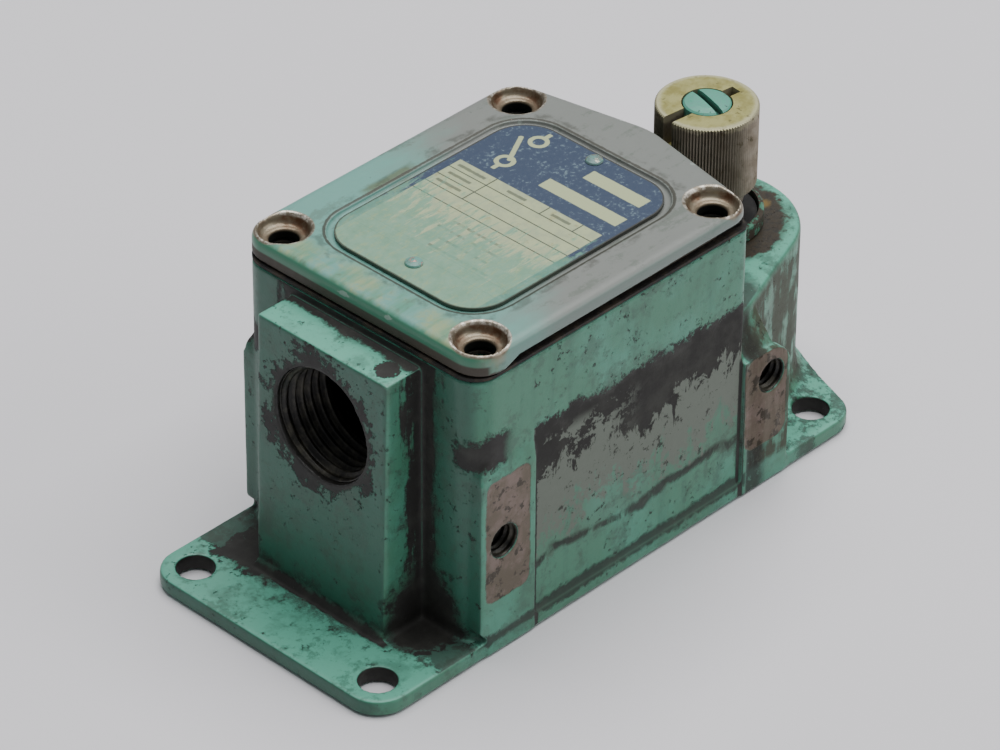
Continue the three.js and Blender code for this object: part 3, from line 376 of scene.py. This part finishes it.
def cover_finish():
    g = Graph("cover_enamel")
    x, y, z = g.x, g.y, g.z
    broad = g.noise(14, 4, seed=11)
    medium = g.noise(4.5, 6, 0.65, seed=12)
    fine = g.noise(1.1, 6, 0.7, seed=13)
    wipe = g.noise(5, 4, 0.6, seed=14, stretch=(3, 0.6, 1))
    ragged = (medium - 0.5) * 6 + (fine - 0.5) * 3
    up = g.ramp(g.nz, 0.5, 0.85)

    # grey at the shaft end, turquoise towards the conduit end and along the left side
    drift = x * 0.9 - y * 0.42 + (broad - 0.5) * 22 + (wipe - 0.5) * 14
    paint = g.mix(g.ramp(drift, 2, -22), COVER_GREY, COVER_BLUE)
    front = g.ramp(x + (medium - 0.5) * 6, -29.5, -34)
    paint = g.mix(front * g.ramp(broad + (fine - 0.5) * 0.4, 0.38, 0.6) * 0.75, paint, STAIN_YELLOW)
    green = g.ramp(x + (medium - 0.5) * 10 + (fine - 0.5) * 4, -27, -35) * g.ramp(wipe, 0.4, 0.6)
    paint = g.mix(green * 0.7, paint, (0.09, 0.27, 0.17))
    scuffs = g.ramp(wipe + (fine - 0.5) * 0.5, 0.56, 0.68)
    paint = g.mix(scuffs * 0.45, paint, (0.09, 0.12, 0.09))
    skirt = (1 - up) * g.ramp(x, -34.5, -36.3)
    paint = g.mix(skirt, paint, SEA_GREEN)
    side = (1 - up) * g.ramp(abs(y), 26.5, 28)
    paint = g.mix(side * 0.5, paint, (0.12, 0.2, 0.17))
    edge = g.ramp(g.edge() + (fine - 0.5) * 0.06, 0.515, 0.56)
    paint = g.mix(edge * 0.4, paint, (0.42, 0.5, 0.45))

    # dirt smears along the recess and in small pits; painted shade in the recess groove and below the rim
    margin = g.rounded(x, y, PLATE_CENTRE, (27.1, 20.3), 9)
    # painted shade in the recess groove
    groove_shade = up * g.ramp(abs(margin) + (fine - 0.5) * 0.5, 0.42, 0.14)
    smear = up * g.ramp(abs(margin - 1) + (wipe - 0.5) * 6, 1.3, 0.2) * g.ramp(medium, 0.45, 0.6)
    # low: painted shade below the rim, darkest at the cover's bottom
    low = g.ramp(z + (medium - 0.5) * 1.4 + (fine - 0.5) * 0.8, 58.5, 58.0)
    rim_gap_shade = g.ramp(abs(y), COVER_HIGH.y - 0.3, COVER_HIGH.y - 0.8) * g.ramp(z, 59.9, 59.4) * (1 - up)
    low = g.most(low, rim_gap_shade)
    pits = g.ramp(fine, 0.71, 0.73)
    pink = g.ramp(g.noise(2.2, 5, 0.7, seed=15), 0.69, 0.7) * g.ramp(g.edge(), 0.5, 0.53) * (1 - low)

    # the counterbores: bare, rusty, with a bright turned rim
    hole_x = g.math("MINIMUM", abs(x - SCREWS_X[0]), abs(x - SCREWS_X[1]))
    from_hole = g.reach(hole_x, abs(y) - SCREW_Y)
    sunk = g.ramp(from_hole + (medium - 0.5) * 0.5, 5.35, 5.05)
    rim = sunk * g.ramp(from_hole, 4.3, 4.65) * g.ramp(z, 61.2, 61.6)
    rust = g.mix(g.ramp(medium, 0.40, 0.62), (0.27, 0.235, 0.17), (0.15, 0.080, 0.045))
    rust = g.mix(g.ramp(z + (fine - 0.5) * 0.5, 60.1, 59.7), rust, (0.20, 0.16, 0.11))
    # painted shade down the screw hole below the counterbore floor
    rust = g.mix(g.ramp(z, 59.8, 59.2), rust, GRIME)
    bright = g.mix(g.ramp(fine + (medium - 0.5) * 0.6, 0.42, 0.66), (0.26, 0.22, 0.165), BRIGHT_METAL)

    olive = up * g.ramp(abs(y - 20.8) + (medium - 0.5) * 3, 1.6, 0.5) * g.ramp(abs(x + 8.5) + ragged, 7, 4)
    color = g.mix(olive * 0.7, paint, (0.10, 0.105, 0.035))
    # painted shade in the groove, dirt smears beside it
    color = g.mix(g.most(groove_shade * 0.92, smear * 0.5), color, (0.035, 0.034, 0.022))
    color = g.mix(pits * 0.7, color, BROWN_GRIME)
    color = g.mix(pink, color, (0.42, 0.28, 0.24))
    # painted shade below the rim
    color = g.mix(low, color, (0.055, 0.045, 0.032))
    color = g.mix(sunk, color, rust)
    color = g.mix(rim * g.ramp(medium, 0.3, 0.5), color, bright)
    bare = g.most(sunk, pink * 0.5)
    relief = (1 - g.most(pits, pink, groove_shade * 0.5)) * 0.6 + fine * 0.35
    roughness = 0.34 + low * 0.3 + groove_shade * 0.2 + (fine - 0.5) * 0.3 + sunk * 0.05
    return g.surface(color, roughness, bare * 0.7, relief, 0.1)


def collar_finish():
    g = Graph("collar_enamel")
    medium = g.noise(3, 6, 0.65, seed=21)
    fine = g.noise(0.9, 5, 0.7, seed=22)
    outside = g.ramp(g.reach(g.x - SHAFT_X, g.y), 9.7, 10.0)
    paint = g.mix(g.ramp(medium, 0.4, 0.6), SEA_GREEN, TURQUOISE)
    # dirt: random grime, plus painted shade inside the collar under the hub
    dirt = g.most(g.ramp(medium + (fine - 0.5) * 0.6, 0.40, 0.50), 1 - outside)
    color = g.mix(dirt, paint, BROWN_GRIME)
    return g.surface(color, 0.4 + dirt * 0.25, 0.0, fine * 0.5 + (1 - dirt) * 0.5, 0.12)


# ---- nameplate ----
ROW_LINES_X = (1.85, -1.05, -4.0, -7.0)
FIELD_X = 4.6
COLUMN_Y = (7.9, -4.6, -12.3)
BORDER_Y = 16.6
SYMBOL = (13.8, 10.9)


def nameplate_finish():
    g = Graph("printed_plate")
    x, y = g.x, g.y
    medium = g.noise(3.2, 6, 0.7, seed=31)
    fine = g.noise(0.7, 5, 0.7, seed=32)
    brush = g.noise(1.6, 5, 0.65, seed=33, stretch=(3.4, 0.8, 1), distortion=0.4)

    def bar(centre, half, radius=0.15):
        return g.ramp(g.rounded(x, y, centre, half, radius) + (fine - 0.5) * 0.35, 0.09, -0.09)

    def line(value, at, half=0.11):
        return g.ramp(abs(value - at) + (fine - 0.5) * 0.05, half + 0.05, half - 0.03)

    # a blue field at the shaft end, carried forward as two side borders
    field = g.ramp(x, FIELD_X - 0.08, FIELD_X + 0.08)
    border = g.ramp(abs(y), BORDER_Y, BORDER_Y + 0.16)
    blue = g.most(field, border)

    # a plain pair of contacts with an open blade, and two blank title bars
    cx, cy = SYMBOL
    ring = [abs(g.reach(x - cx - dx, y - cy) - 1.5) for dx in (-4.2, 4.2)]
    blade_run = (x - cx) * 0.88 + (y - cy) * 0.47
    blade_side = (y - cy) * 0.88 - (x - cx) * 0.47
    blade = g.rounded(blade_run, blade_side, (0.6, 1.35), (4.1, 0.45), 0.4)
    leads = [g.rounded(x, y, (cx + dx, cy), (1.0, 0.45), 0.2) for dx in (-6.4, 6.4)]
    symbol = g.most(
        *[g.ramp(r + (fine - 0.5) * 0.3, 0.5, 0.36) for r in ring],
        g.ramp(blade + (fine - 0.5) * 0.3, 0.08, -0.08),
        *[g.ramp(lead, 0.08, -0.08) for lead in leads],
    )
    titles = g.most(bar((16.6, -8.8), (1.5, 6.6)), bar((9.6, -7.4), (1.5, 9.0)))
    marks = g.most(symbol, titles) * field

    # ruled rows with short blank entries
    ruling = g.most(*[line(x, at) for at in ROW_LINES_X])
    divider = line(y, COLUMN_Y[0]) * g.ramp(x, -4.1, -3.9)
    short = g.most(line(y, COLUMN_Y[1]), line(y, COLUMN_Y[2])) * g.ramp(x, 1.8, 2.0)
    entries = g.most(
        bar((3.2, 12.6), (0.35, 3.2)), bar((0.4, 12.8), (0.35, 2.6)), bar((-2.5, 12.6), (0.35, 2.9)),
        bar((3.2, 2.0), (0.35, 2.2)), bar((3.2, -8.4), (0.35, 2.2)),
    )
    notes = g.most(*[bar((-9.9 - 2.6 * i, -1.5 - 0.8 * i), (0.3, 5.6 + 1.9 * (i % 2))) for i in range(4)])
    faint_lines = g.most(line(x, -18.6, 0.08), line(x, -21.4, 0.08))
    ink = g.most(ruling, divider, short, entries * 0.7, notes * g.ramp(brush, 0.38, 0.6) * 0.7) * (1 - blue)
    ink = g.most(ink, faint_lines * 0.35)

    pale = g.mix(g.ramp(medium, 0.4, 0.65), PLATE_PALE, (0.36, 0.41, 0.26))
    pale = g.mix(g.ramp(g.noise(2.4, 5, 0.7, seed=34), 0.58, 0.68) * 0.5, pale, (0.30, 0.27, 0.12))
    print_color = g.mix(blue, pale, PLATE_BLUE)
    print_color = g.mix(marks, print_color, PLATE_PALE)
    worn_blue = blue * (1 - marks) * g.ramp(fine + (medium - 0.5) * 0.5, 0.56, 0.68)
    print_color = g.mix(worn_blue * 0.55, print_color, (0.20, 0.29, 0.33))
    print_color = g.mix(ink, print_color, INK)

    # the housing's enamel brushed over the conduit end
    cover_up = x * 0.052 + (brush - 0.5) * 2.8 + (medium - 0.5) * 1.1 - g.ramp(abs(y), 11, 17) * 0.25
    over = g.ramp(cover_up, -0.22, -0.75)
    ghost = (1 - over) + over * 0.2
    teal = g.mix(g.ramp(medium, 0.35, 0.65), (0.105, 0.285, 0.205), (0.170, 0.355, 0.255))
    flecked = g.ramp(g.noise(1.1, 6, 0.75, seed=35, stretch=(2.2, 0.8, 1)), 0.5, 0.64)
    teal = g.mix(flecked * 0.5, teal, (0.30, 0.38, 0.18))
    color = g.mix(ghost, teal, print_color)

    edge = g.rounded(x, y, PLATE_CENTRE, (25.4, 18.6), 7.4)
    dirt = g.ramp(edge + (fine - 0.5) * 0.3, -0.42, -0.16)
    color = g.mix(dirt * 0.9, color, (0.035, 0.034, 0.022))
    relief = over * 0.5 + fine * 0.4
    return g.surface(color, 0.36 + (fine - 0.5) * 0.3 + dirt * 0.2, 0.0, relief, 0.06)


# ---- metals, rubber and mouldings ----
def metal_finish(name, dull, bright, stain, seed, size=2.5, roughness=0.38, metallic=0.85):
    g = Graph(name)
    medium = g.noise(size, 6, 0.65, seed=seed)
    fine = g.noise(size * 0.25, 5, 0.7, seed=seed + 1)
    color = g.mix(g.ramp(medium, 0.35, 0.65), dull, bright)
    color = g.mix(g.ramp(g.noise(size * 1.7, 5, 0.7, seed=seed + 2), 0.54, 0.66) * 0.8, color, stain)
    return g.surface(color, roughness + (fine - 0.5) * 0.35, metallic, fine, 0.03)


def moulded_finish(name, color, worn, seed, roughness=0.5):
    g = Graph(name)
    medium = g.noise(3, 5, 0.6, seed=seed)
    fine = g.noise(0.5, 4, 0.6, seed=seed + 1)
    mixed = g.mix(g.ramp(medium + (fine - 0.5) * 0.4, 0.4, 0.68), color, worn)
    return g.surface(mixed, roughness + (fine - 0.5) * 0.3, 0.0, fine, 0.04)


def hub_finish():
    g = Graph("knurled_plating")
    medium = g.noise(3, 6, 0.65, seed=41)
    fine = g.noise(0.7, 5, 0.7, seed=42)
    from_axis = g.reach(g.x - SHAFT_X, g.y)
    top = g.ramp(g.nz, 0.6, 0.9)
    olive = g.mix(g.ramp(medium, 0.35, 0.62), (0.29, 0.265, 0.085), (0.42, 0.40, 0.165))
    olive = g.mix(g.ramp(from_axis + (fine - 0.5), 7.9, 8.7), olive, (0.50, 0.48, 0.29))
    side = g.mix(g.ramp(medium, 0.35, 0.65), (0.24, 0.20, 0.145), (0.36, 0.315, 0.25))
    root = g.ramp(from_axis, HUB_HIGH.x - SHAFT_X - 0.06, HUB_HIGH.x - SHAFT_X - 0.22)
    side = g.mix(root * 0.3, side, (0.07, 0.058, 0.04))
    # painted shade and a painted dark reflection on the hub's side towards -X
    side = g.mix(g.ramp(g.x + g.y * 0.4, SHAFT_X - 2, SHAFT_X - 8) * 0.6, side, (0.10, 0.085, 0.06))
    side = g.mix(g.ramp(g.z + (medium - 0.5) * 5, 59.4, 60.2) * 0.6, side, (0.42, 0.39, 0.26))
    color = g.mix(top, side, olive)
    dirt = g.ramp(g.noise(2, 5, 0.7, seed=43), 0.6, 0.66)
    color = g.mix(dirt * 0.6, color, (0.10, 0.085, 0.04))
    return g.surface(color, 0.5 + dirt * 0.2 + (fine - 0.5) * 0.25, 0.55, fine, 0.03)


def painted_metal(name, paint, chip, seed, share=0.62):
    g = Graph(name)
    medium = g.noise(1.6, 6, 0.7, seed=seed)
    fine = g.noise(0.5, 5, 0.7, seed=seed + 1)
    chipped = g.ramp(medium, share, share + 0.03)
    color = g.mix(chipped, g.mix(g.ramp(fine, 0.35, 0.7), paint, (0.12, 0.3, 0.25)), chip)
    # painted shade deep in crevices, such as the screw slot
    color = g.mix(g.ramp(g.crevice(1.5), 0.3, 0.6), color, GRIME)
    return g.surface(color, 0.38 + (fine - 0.5) * 0.3, chipped * 0.6, fine * 0.4 + (1 - chipped) * 0.6, 0.08)


def thread_finish(name, seed):
    g = Graph(name)
    medium = g.noise(2.5, 5, 0.65, seed=seed)
    fine = g.noise(0.6, 5, 0.7, seed=seed + 1)
    color = g.mix(g.ramp(medium, 0.4, 0.65), (0.012, 0.011, 0.009), (0.06, 0.055, 0.04))
    return g.surface(color, 0.42 + (fine - 0.5) * 0.3, 0.3, fine, 0.06)


STEEL = metal_finish("turned_steel", (0.30, 0.29, 0.27), (0.46, 0.45, 0.43), (0.12, 0.08, 0.05), 51)
PIN_STEEL = metal_finish(
    "ground_pin", (0.40, 0.39, 0.37), (0.55, 0.54, 0.52),
    (0.16, 0.12, 0.08), 54, 1.4, 0.3,
)
LINK_STEEL = metal_finish(
    "stamped_steel", (0.26, 0.25, 0.22), (0.40, 0.38, 0.34),
    (0.10, 0.07, 0.04), 57, 3.2, 0.45,
)
SPRING_STEEL = metal_finish(
    "spring_wire", (0.14, 0.13, 0.12), (0.26, 0.25, 0.24),
    (0.09, 0.05, 0.03), 60, 1.5, 0.36,
)
BRASS = metal_finish(
    "contact_brass", (0.50, 0.36, 0.14), (0.66, 0.50, 0.22),
    (0.24, 0.15, 0.06), 63, 2.2, 0.36,
)
BRONZE = metal_finish(
    "sintered_bronze", (0.34, 0.21, 0.10), (0.46, 0.30, 0.15),
    (0.15, 0.09, 0.05), 66, 1.0, 0.5,
)
SILVER = metal_finish(
    "contact_silver", (0.60, 0.60, 0.58), (0.78, 0.77, 0.74),
    (0.20, 0.19, 0.17), 69, 1.2, 0.3,
)
PHENOLIC = moulded_finish("brown_phenolic", (0.022, 0.014, 0.010), (0.045, 0.030, 0.020), 72, 0.42)
ARM_PHENOLIC = moulded_finish("laminated_phenolic", (0.10, 0.055, 0.025), (0.15, 0.085, 0.04), 75, 0.5)
RUBBER = moulded_finish("aged_rubber", (0.012, 0.012, 0.012), (0.032, 0.030, 0.028), 78, 0.72)
GASKET = moulded_finish("dark_gasket", (0.010, 0.009, 0.008), (0.045, 0.034, 0.022), 81, 0.8)

MATERIALS = {
    "housing": housing_finish(),
    "cover": cover_finish(),
    "cover_gasket": GASKET,
    "nameplate": nameplate_finish(),
    "nameplate_rivet_front": painted_metal(
        "overpainted_rivet", (0.15, 0.34, 0.29), (0.50, 0.34, 0.29), 84, 0.56
    ),
    "nameplate_rivet_rear": painted_metal("dulled_rivet", (0.16, 0.24, 0.24), (0.34, 0.36, 0.30), 87, 0.5),
    "knurled_hub": hub_finish(),
    "hub_screw": painted_metal("overpainted_screw", (0.085, 0.36, 0.25), (0.05, 0.06, 0.05), 90, 0.63),
    "shaft_bushing": collar_finish(),
    "shaft_seal": RUBBER,
    "lower_bushing": BRONZE,
    "rotary_shaft": STEEL,
    "return_spring": SPRING_STEEL,
    "crank": LINK_STEEL,
    "rocker": LINK_STEEL,
    "contact_block": PHENOLIC,
    "contact_arm": ARM_PHENOLIC,
    "moving_contact": SILVER,
    "block_screw_left": STEEL,
    "block_screw_right": STEEL,
}
BY_PREFIX = {"terminal_": BRASS, "fixed_contact": BRASS, "common_contact": BRASS}


def material_for(name):
    if name in MATERIALS:
        return MATERIALS[name]
    for prefix, material in BY_PREFIX.items():
        if name.startswith(prefix):
            return material
    return PIN_STEEL


for name, node in NODES.items():
    node.data.materials.clear()
    node.data.materials.append(material_for(name))


# ---- the cast skin: rounded edges and a slightly uneven surface ----
def cast_skin(node, voxel, passes, keep, unevenness):
    remesh = node.modifiers.new("skin", "REMESH")
    remesh.mode = "VOXEL"
    remesh.voxel_size = voxel * MM
    remesh.use_smooth_shade = True
    soften = node.modifiers.new("soften", "SMOOTH")
    soften.factor = 0.5
    soften.iterations = passes
    clouds = bpy.data.textures.new("sand", type="CLOUDS")
    clouds.noise_scale = SAND_GRAIN * MM
    clouds.noise_depth = 2
    uneven = node.modifiers.new("uneven", "DISPLACE")
    uneven.texture = clouds
    uneven.texture_coords = "LOCAL"
    uneven.strength = unevenness * MM
    uneven.mid_level = 0.75
    thin = node.modifiers.new("thin", "DECIMATE")
    thin.ratio = keep


cast_skin(NODES["housing"], 0.38, 3, 0.27, 0.10)
cast_skin(NODES["cover"], 0.28, 3, 0.5, 0.04)
for name in ("knurled_hub", "hub_screw", "shaft_bushing", "nameplate_rivet_front", "nameplate_rivet_rear"):
    bevel = NODES[name].modifiers.new("edge", "BEVEL")
    bevel.width = 0.08 * MM
    bevel.segments = 2
    bevel.limit_method = "ANGLE"
    bevel.angle_limit = math.radians(40)


# ---- cut threads ----
def thread_lining(name, outer, root, crest, pitch, length, place, body, material, around):
    """A bored sleeve with a helical thread inside, built along its own +Z from the mouth inwards."""
    per_turn = 8
    steps = int(length / pitch * per_turn)
    rings = []
    for i in range(steps + 1):
        depth = i * length / steps
        row = []
        for k in range(around):
            angle = 2 * math.pi * k / around
            phase = (depth / pitch - k / around) % 1
            ridge = max(0.0, 1 - abs(phase - 0.5) * 2 / 0.8)
            lead = min(1.0, depth / (0.8 * pitch), (length - depth) / (0.5 * pitch))
            radius = root - (root - crest) * ridge * max(lead, 0)
            row.append((radius * math.cos(angle), radius * math.sin(angle), depth))
        rings.append(row)
    shell = [[(outer * math.cos(2 * math.pi * k / around), outer * math.sin(2 * math.pi * k / around), d)
              for k in range(around)] for d in (length, 0)]
    rows = rings + shell
    points = [p for row in rows for p in row]
    faces = []
    for r in range(len(rows)):
        for k in range(around):
            a, b = r * around, ((r + 1) % len(rows)) * around
            n = (k + 1) % around
            faces.append((a + k, b + k, b + n, a + n))
    mesh = bpy.data.meshes.new(name)
    mesh.from_pydata([place @ (Vector(p) * MM) for p in points], [], faces)
    mesh.update()
    mesh.materials.append(material)
    piece = bpy.data.objects.new(name, mesh)
    bpy.context.scene.collection.objects.link(piece)
    for polygon in mesh.polygons:
        polygon.use_smooth = True
    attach(piece, body)


def facing(point, direction):
    """A frame at a point in millimetres whose Z runs along the direction."""
    turn = Vector(direction).to_track_quat("Z", "Y").to_matrix().to_4x4()
    return Matrix.Translation(Vector(point) * MM) @ turn


CONDUIT_PITCH = 1.81
CONDUIT_DEPTH = 11.5
CONDUIT_THREAD_X = -45.0
PAD_PITCH = 1.27
PAD_DEPTH = 8.4
THREAD = thread_finish("dark_thread", 93)
thread_lining(
    "conduit_thread", CONDUIT_R - 0.02, CONDUIT_R - 0.15, CONDUIT_R - 1.25, CONDUIT_PITCH, CONDUIT_DEPTH,
    facing((CONDUIT_THREAD_X, 0, CONDUIT_Z), (1, 0, 0)), "housing", THREAD, 96,
)
for end, x in zip(("front", "rear"), SIDE_HOLES_X):
    for side, sign in (("right", -1), ("left", 1)):
        thread_lining(
            "pad_thread_" + end + "_" + side, SIDE_HOLE_R - 0.02, SIDE_HOLE_R - 0.08, SIDE_HOLE_R - 0.62,
            PAD_PITCH, PAD_DEPTH, facing((x, sign * PAD_FACE_Y, SIDE_HOLE_Z), (0, -sign, 0)),
            "housing", THREAD, 48,
        )


# ---- stage, lights and camera ----
FLOOR_HALF = 4.0
FLOOR_GAP = 0.0002
CAMERA_LENS = 197.49
CAMERA_PLACE = (-0.56122, -0.53540, 0.57675)
CAMERA_TURN_DEG = (54.6725, -0.3689, -45.9554)


def floor():
    half = FLOOR_HALF
    mesh = bpy.data.meshes.new("floor")
    level = CAD_BOX[0][2] - FLOOR_GAP
    corners = [(-half, -half, level), (half, -half, level), (half, half, level), (-half, half, level)]
    mesh.from_pydata(corners, [], [(0, 1, 2, 3)])
    piece = bpy.data.objects.new("floor", mesh)
    bpy.context.scene.collection.objects.link(piece)
    g = Graph("pale_mat")
    mesh.materials.append(g.surface((0.76, 0.742, 0.772), 0.75))


def soft_light(name, place, aim, size, power):
    data = bpy.data.lights.new(name, "AREA")
    data.shape = "RECTANGLE"
    data.size, data.size_y = size
    data.energy = power
    lamp = bpy.data.objects.new(name, data)
    lamp.location = place
    lamp.rotation_euler = (Vector(aim) - Vector(place)).to_track_quat("-Z", "Y").to_euler()
    bpy.context.scene.collection.objects.link(lamp)


floor()
soft_light("overhead", (0.25, 0.02, 1.3), (0, 0, 0), (1.4, 1.2), 25)
soft_light("side", (0.75, -1.05, 0.75), (0, 0, 0.03), (0.9, 0.6), 4.5)

world = bpy.data.worlds.new("studio")
world.use_nodes = True
world.node_tree.nodes["Background"].inputs["Color"].default_value = (0.92, 0.96, 1, 1)
world.node_tree.nodes["Background"].inputs["Strength"].default_value = 0.24
bpy.context.scene.world = world

camera_data = bpy.data.cameras.new("camera")
camera_data.lens = CAMERA_LENS
camera_data.sensor_width = 36
camera_data.clip_end = 20
camera = bpy.data.objects.new("camera", camera_data)
camera.location = CAMERA_PLACE
camera.rotation_euler = [math.radians(a) for a in CAMERA_TURN_DEG]
bpy.context.scene.collection.objects.link(camera)
bpy.context.scene.camera = camera
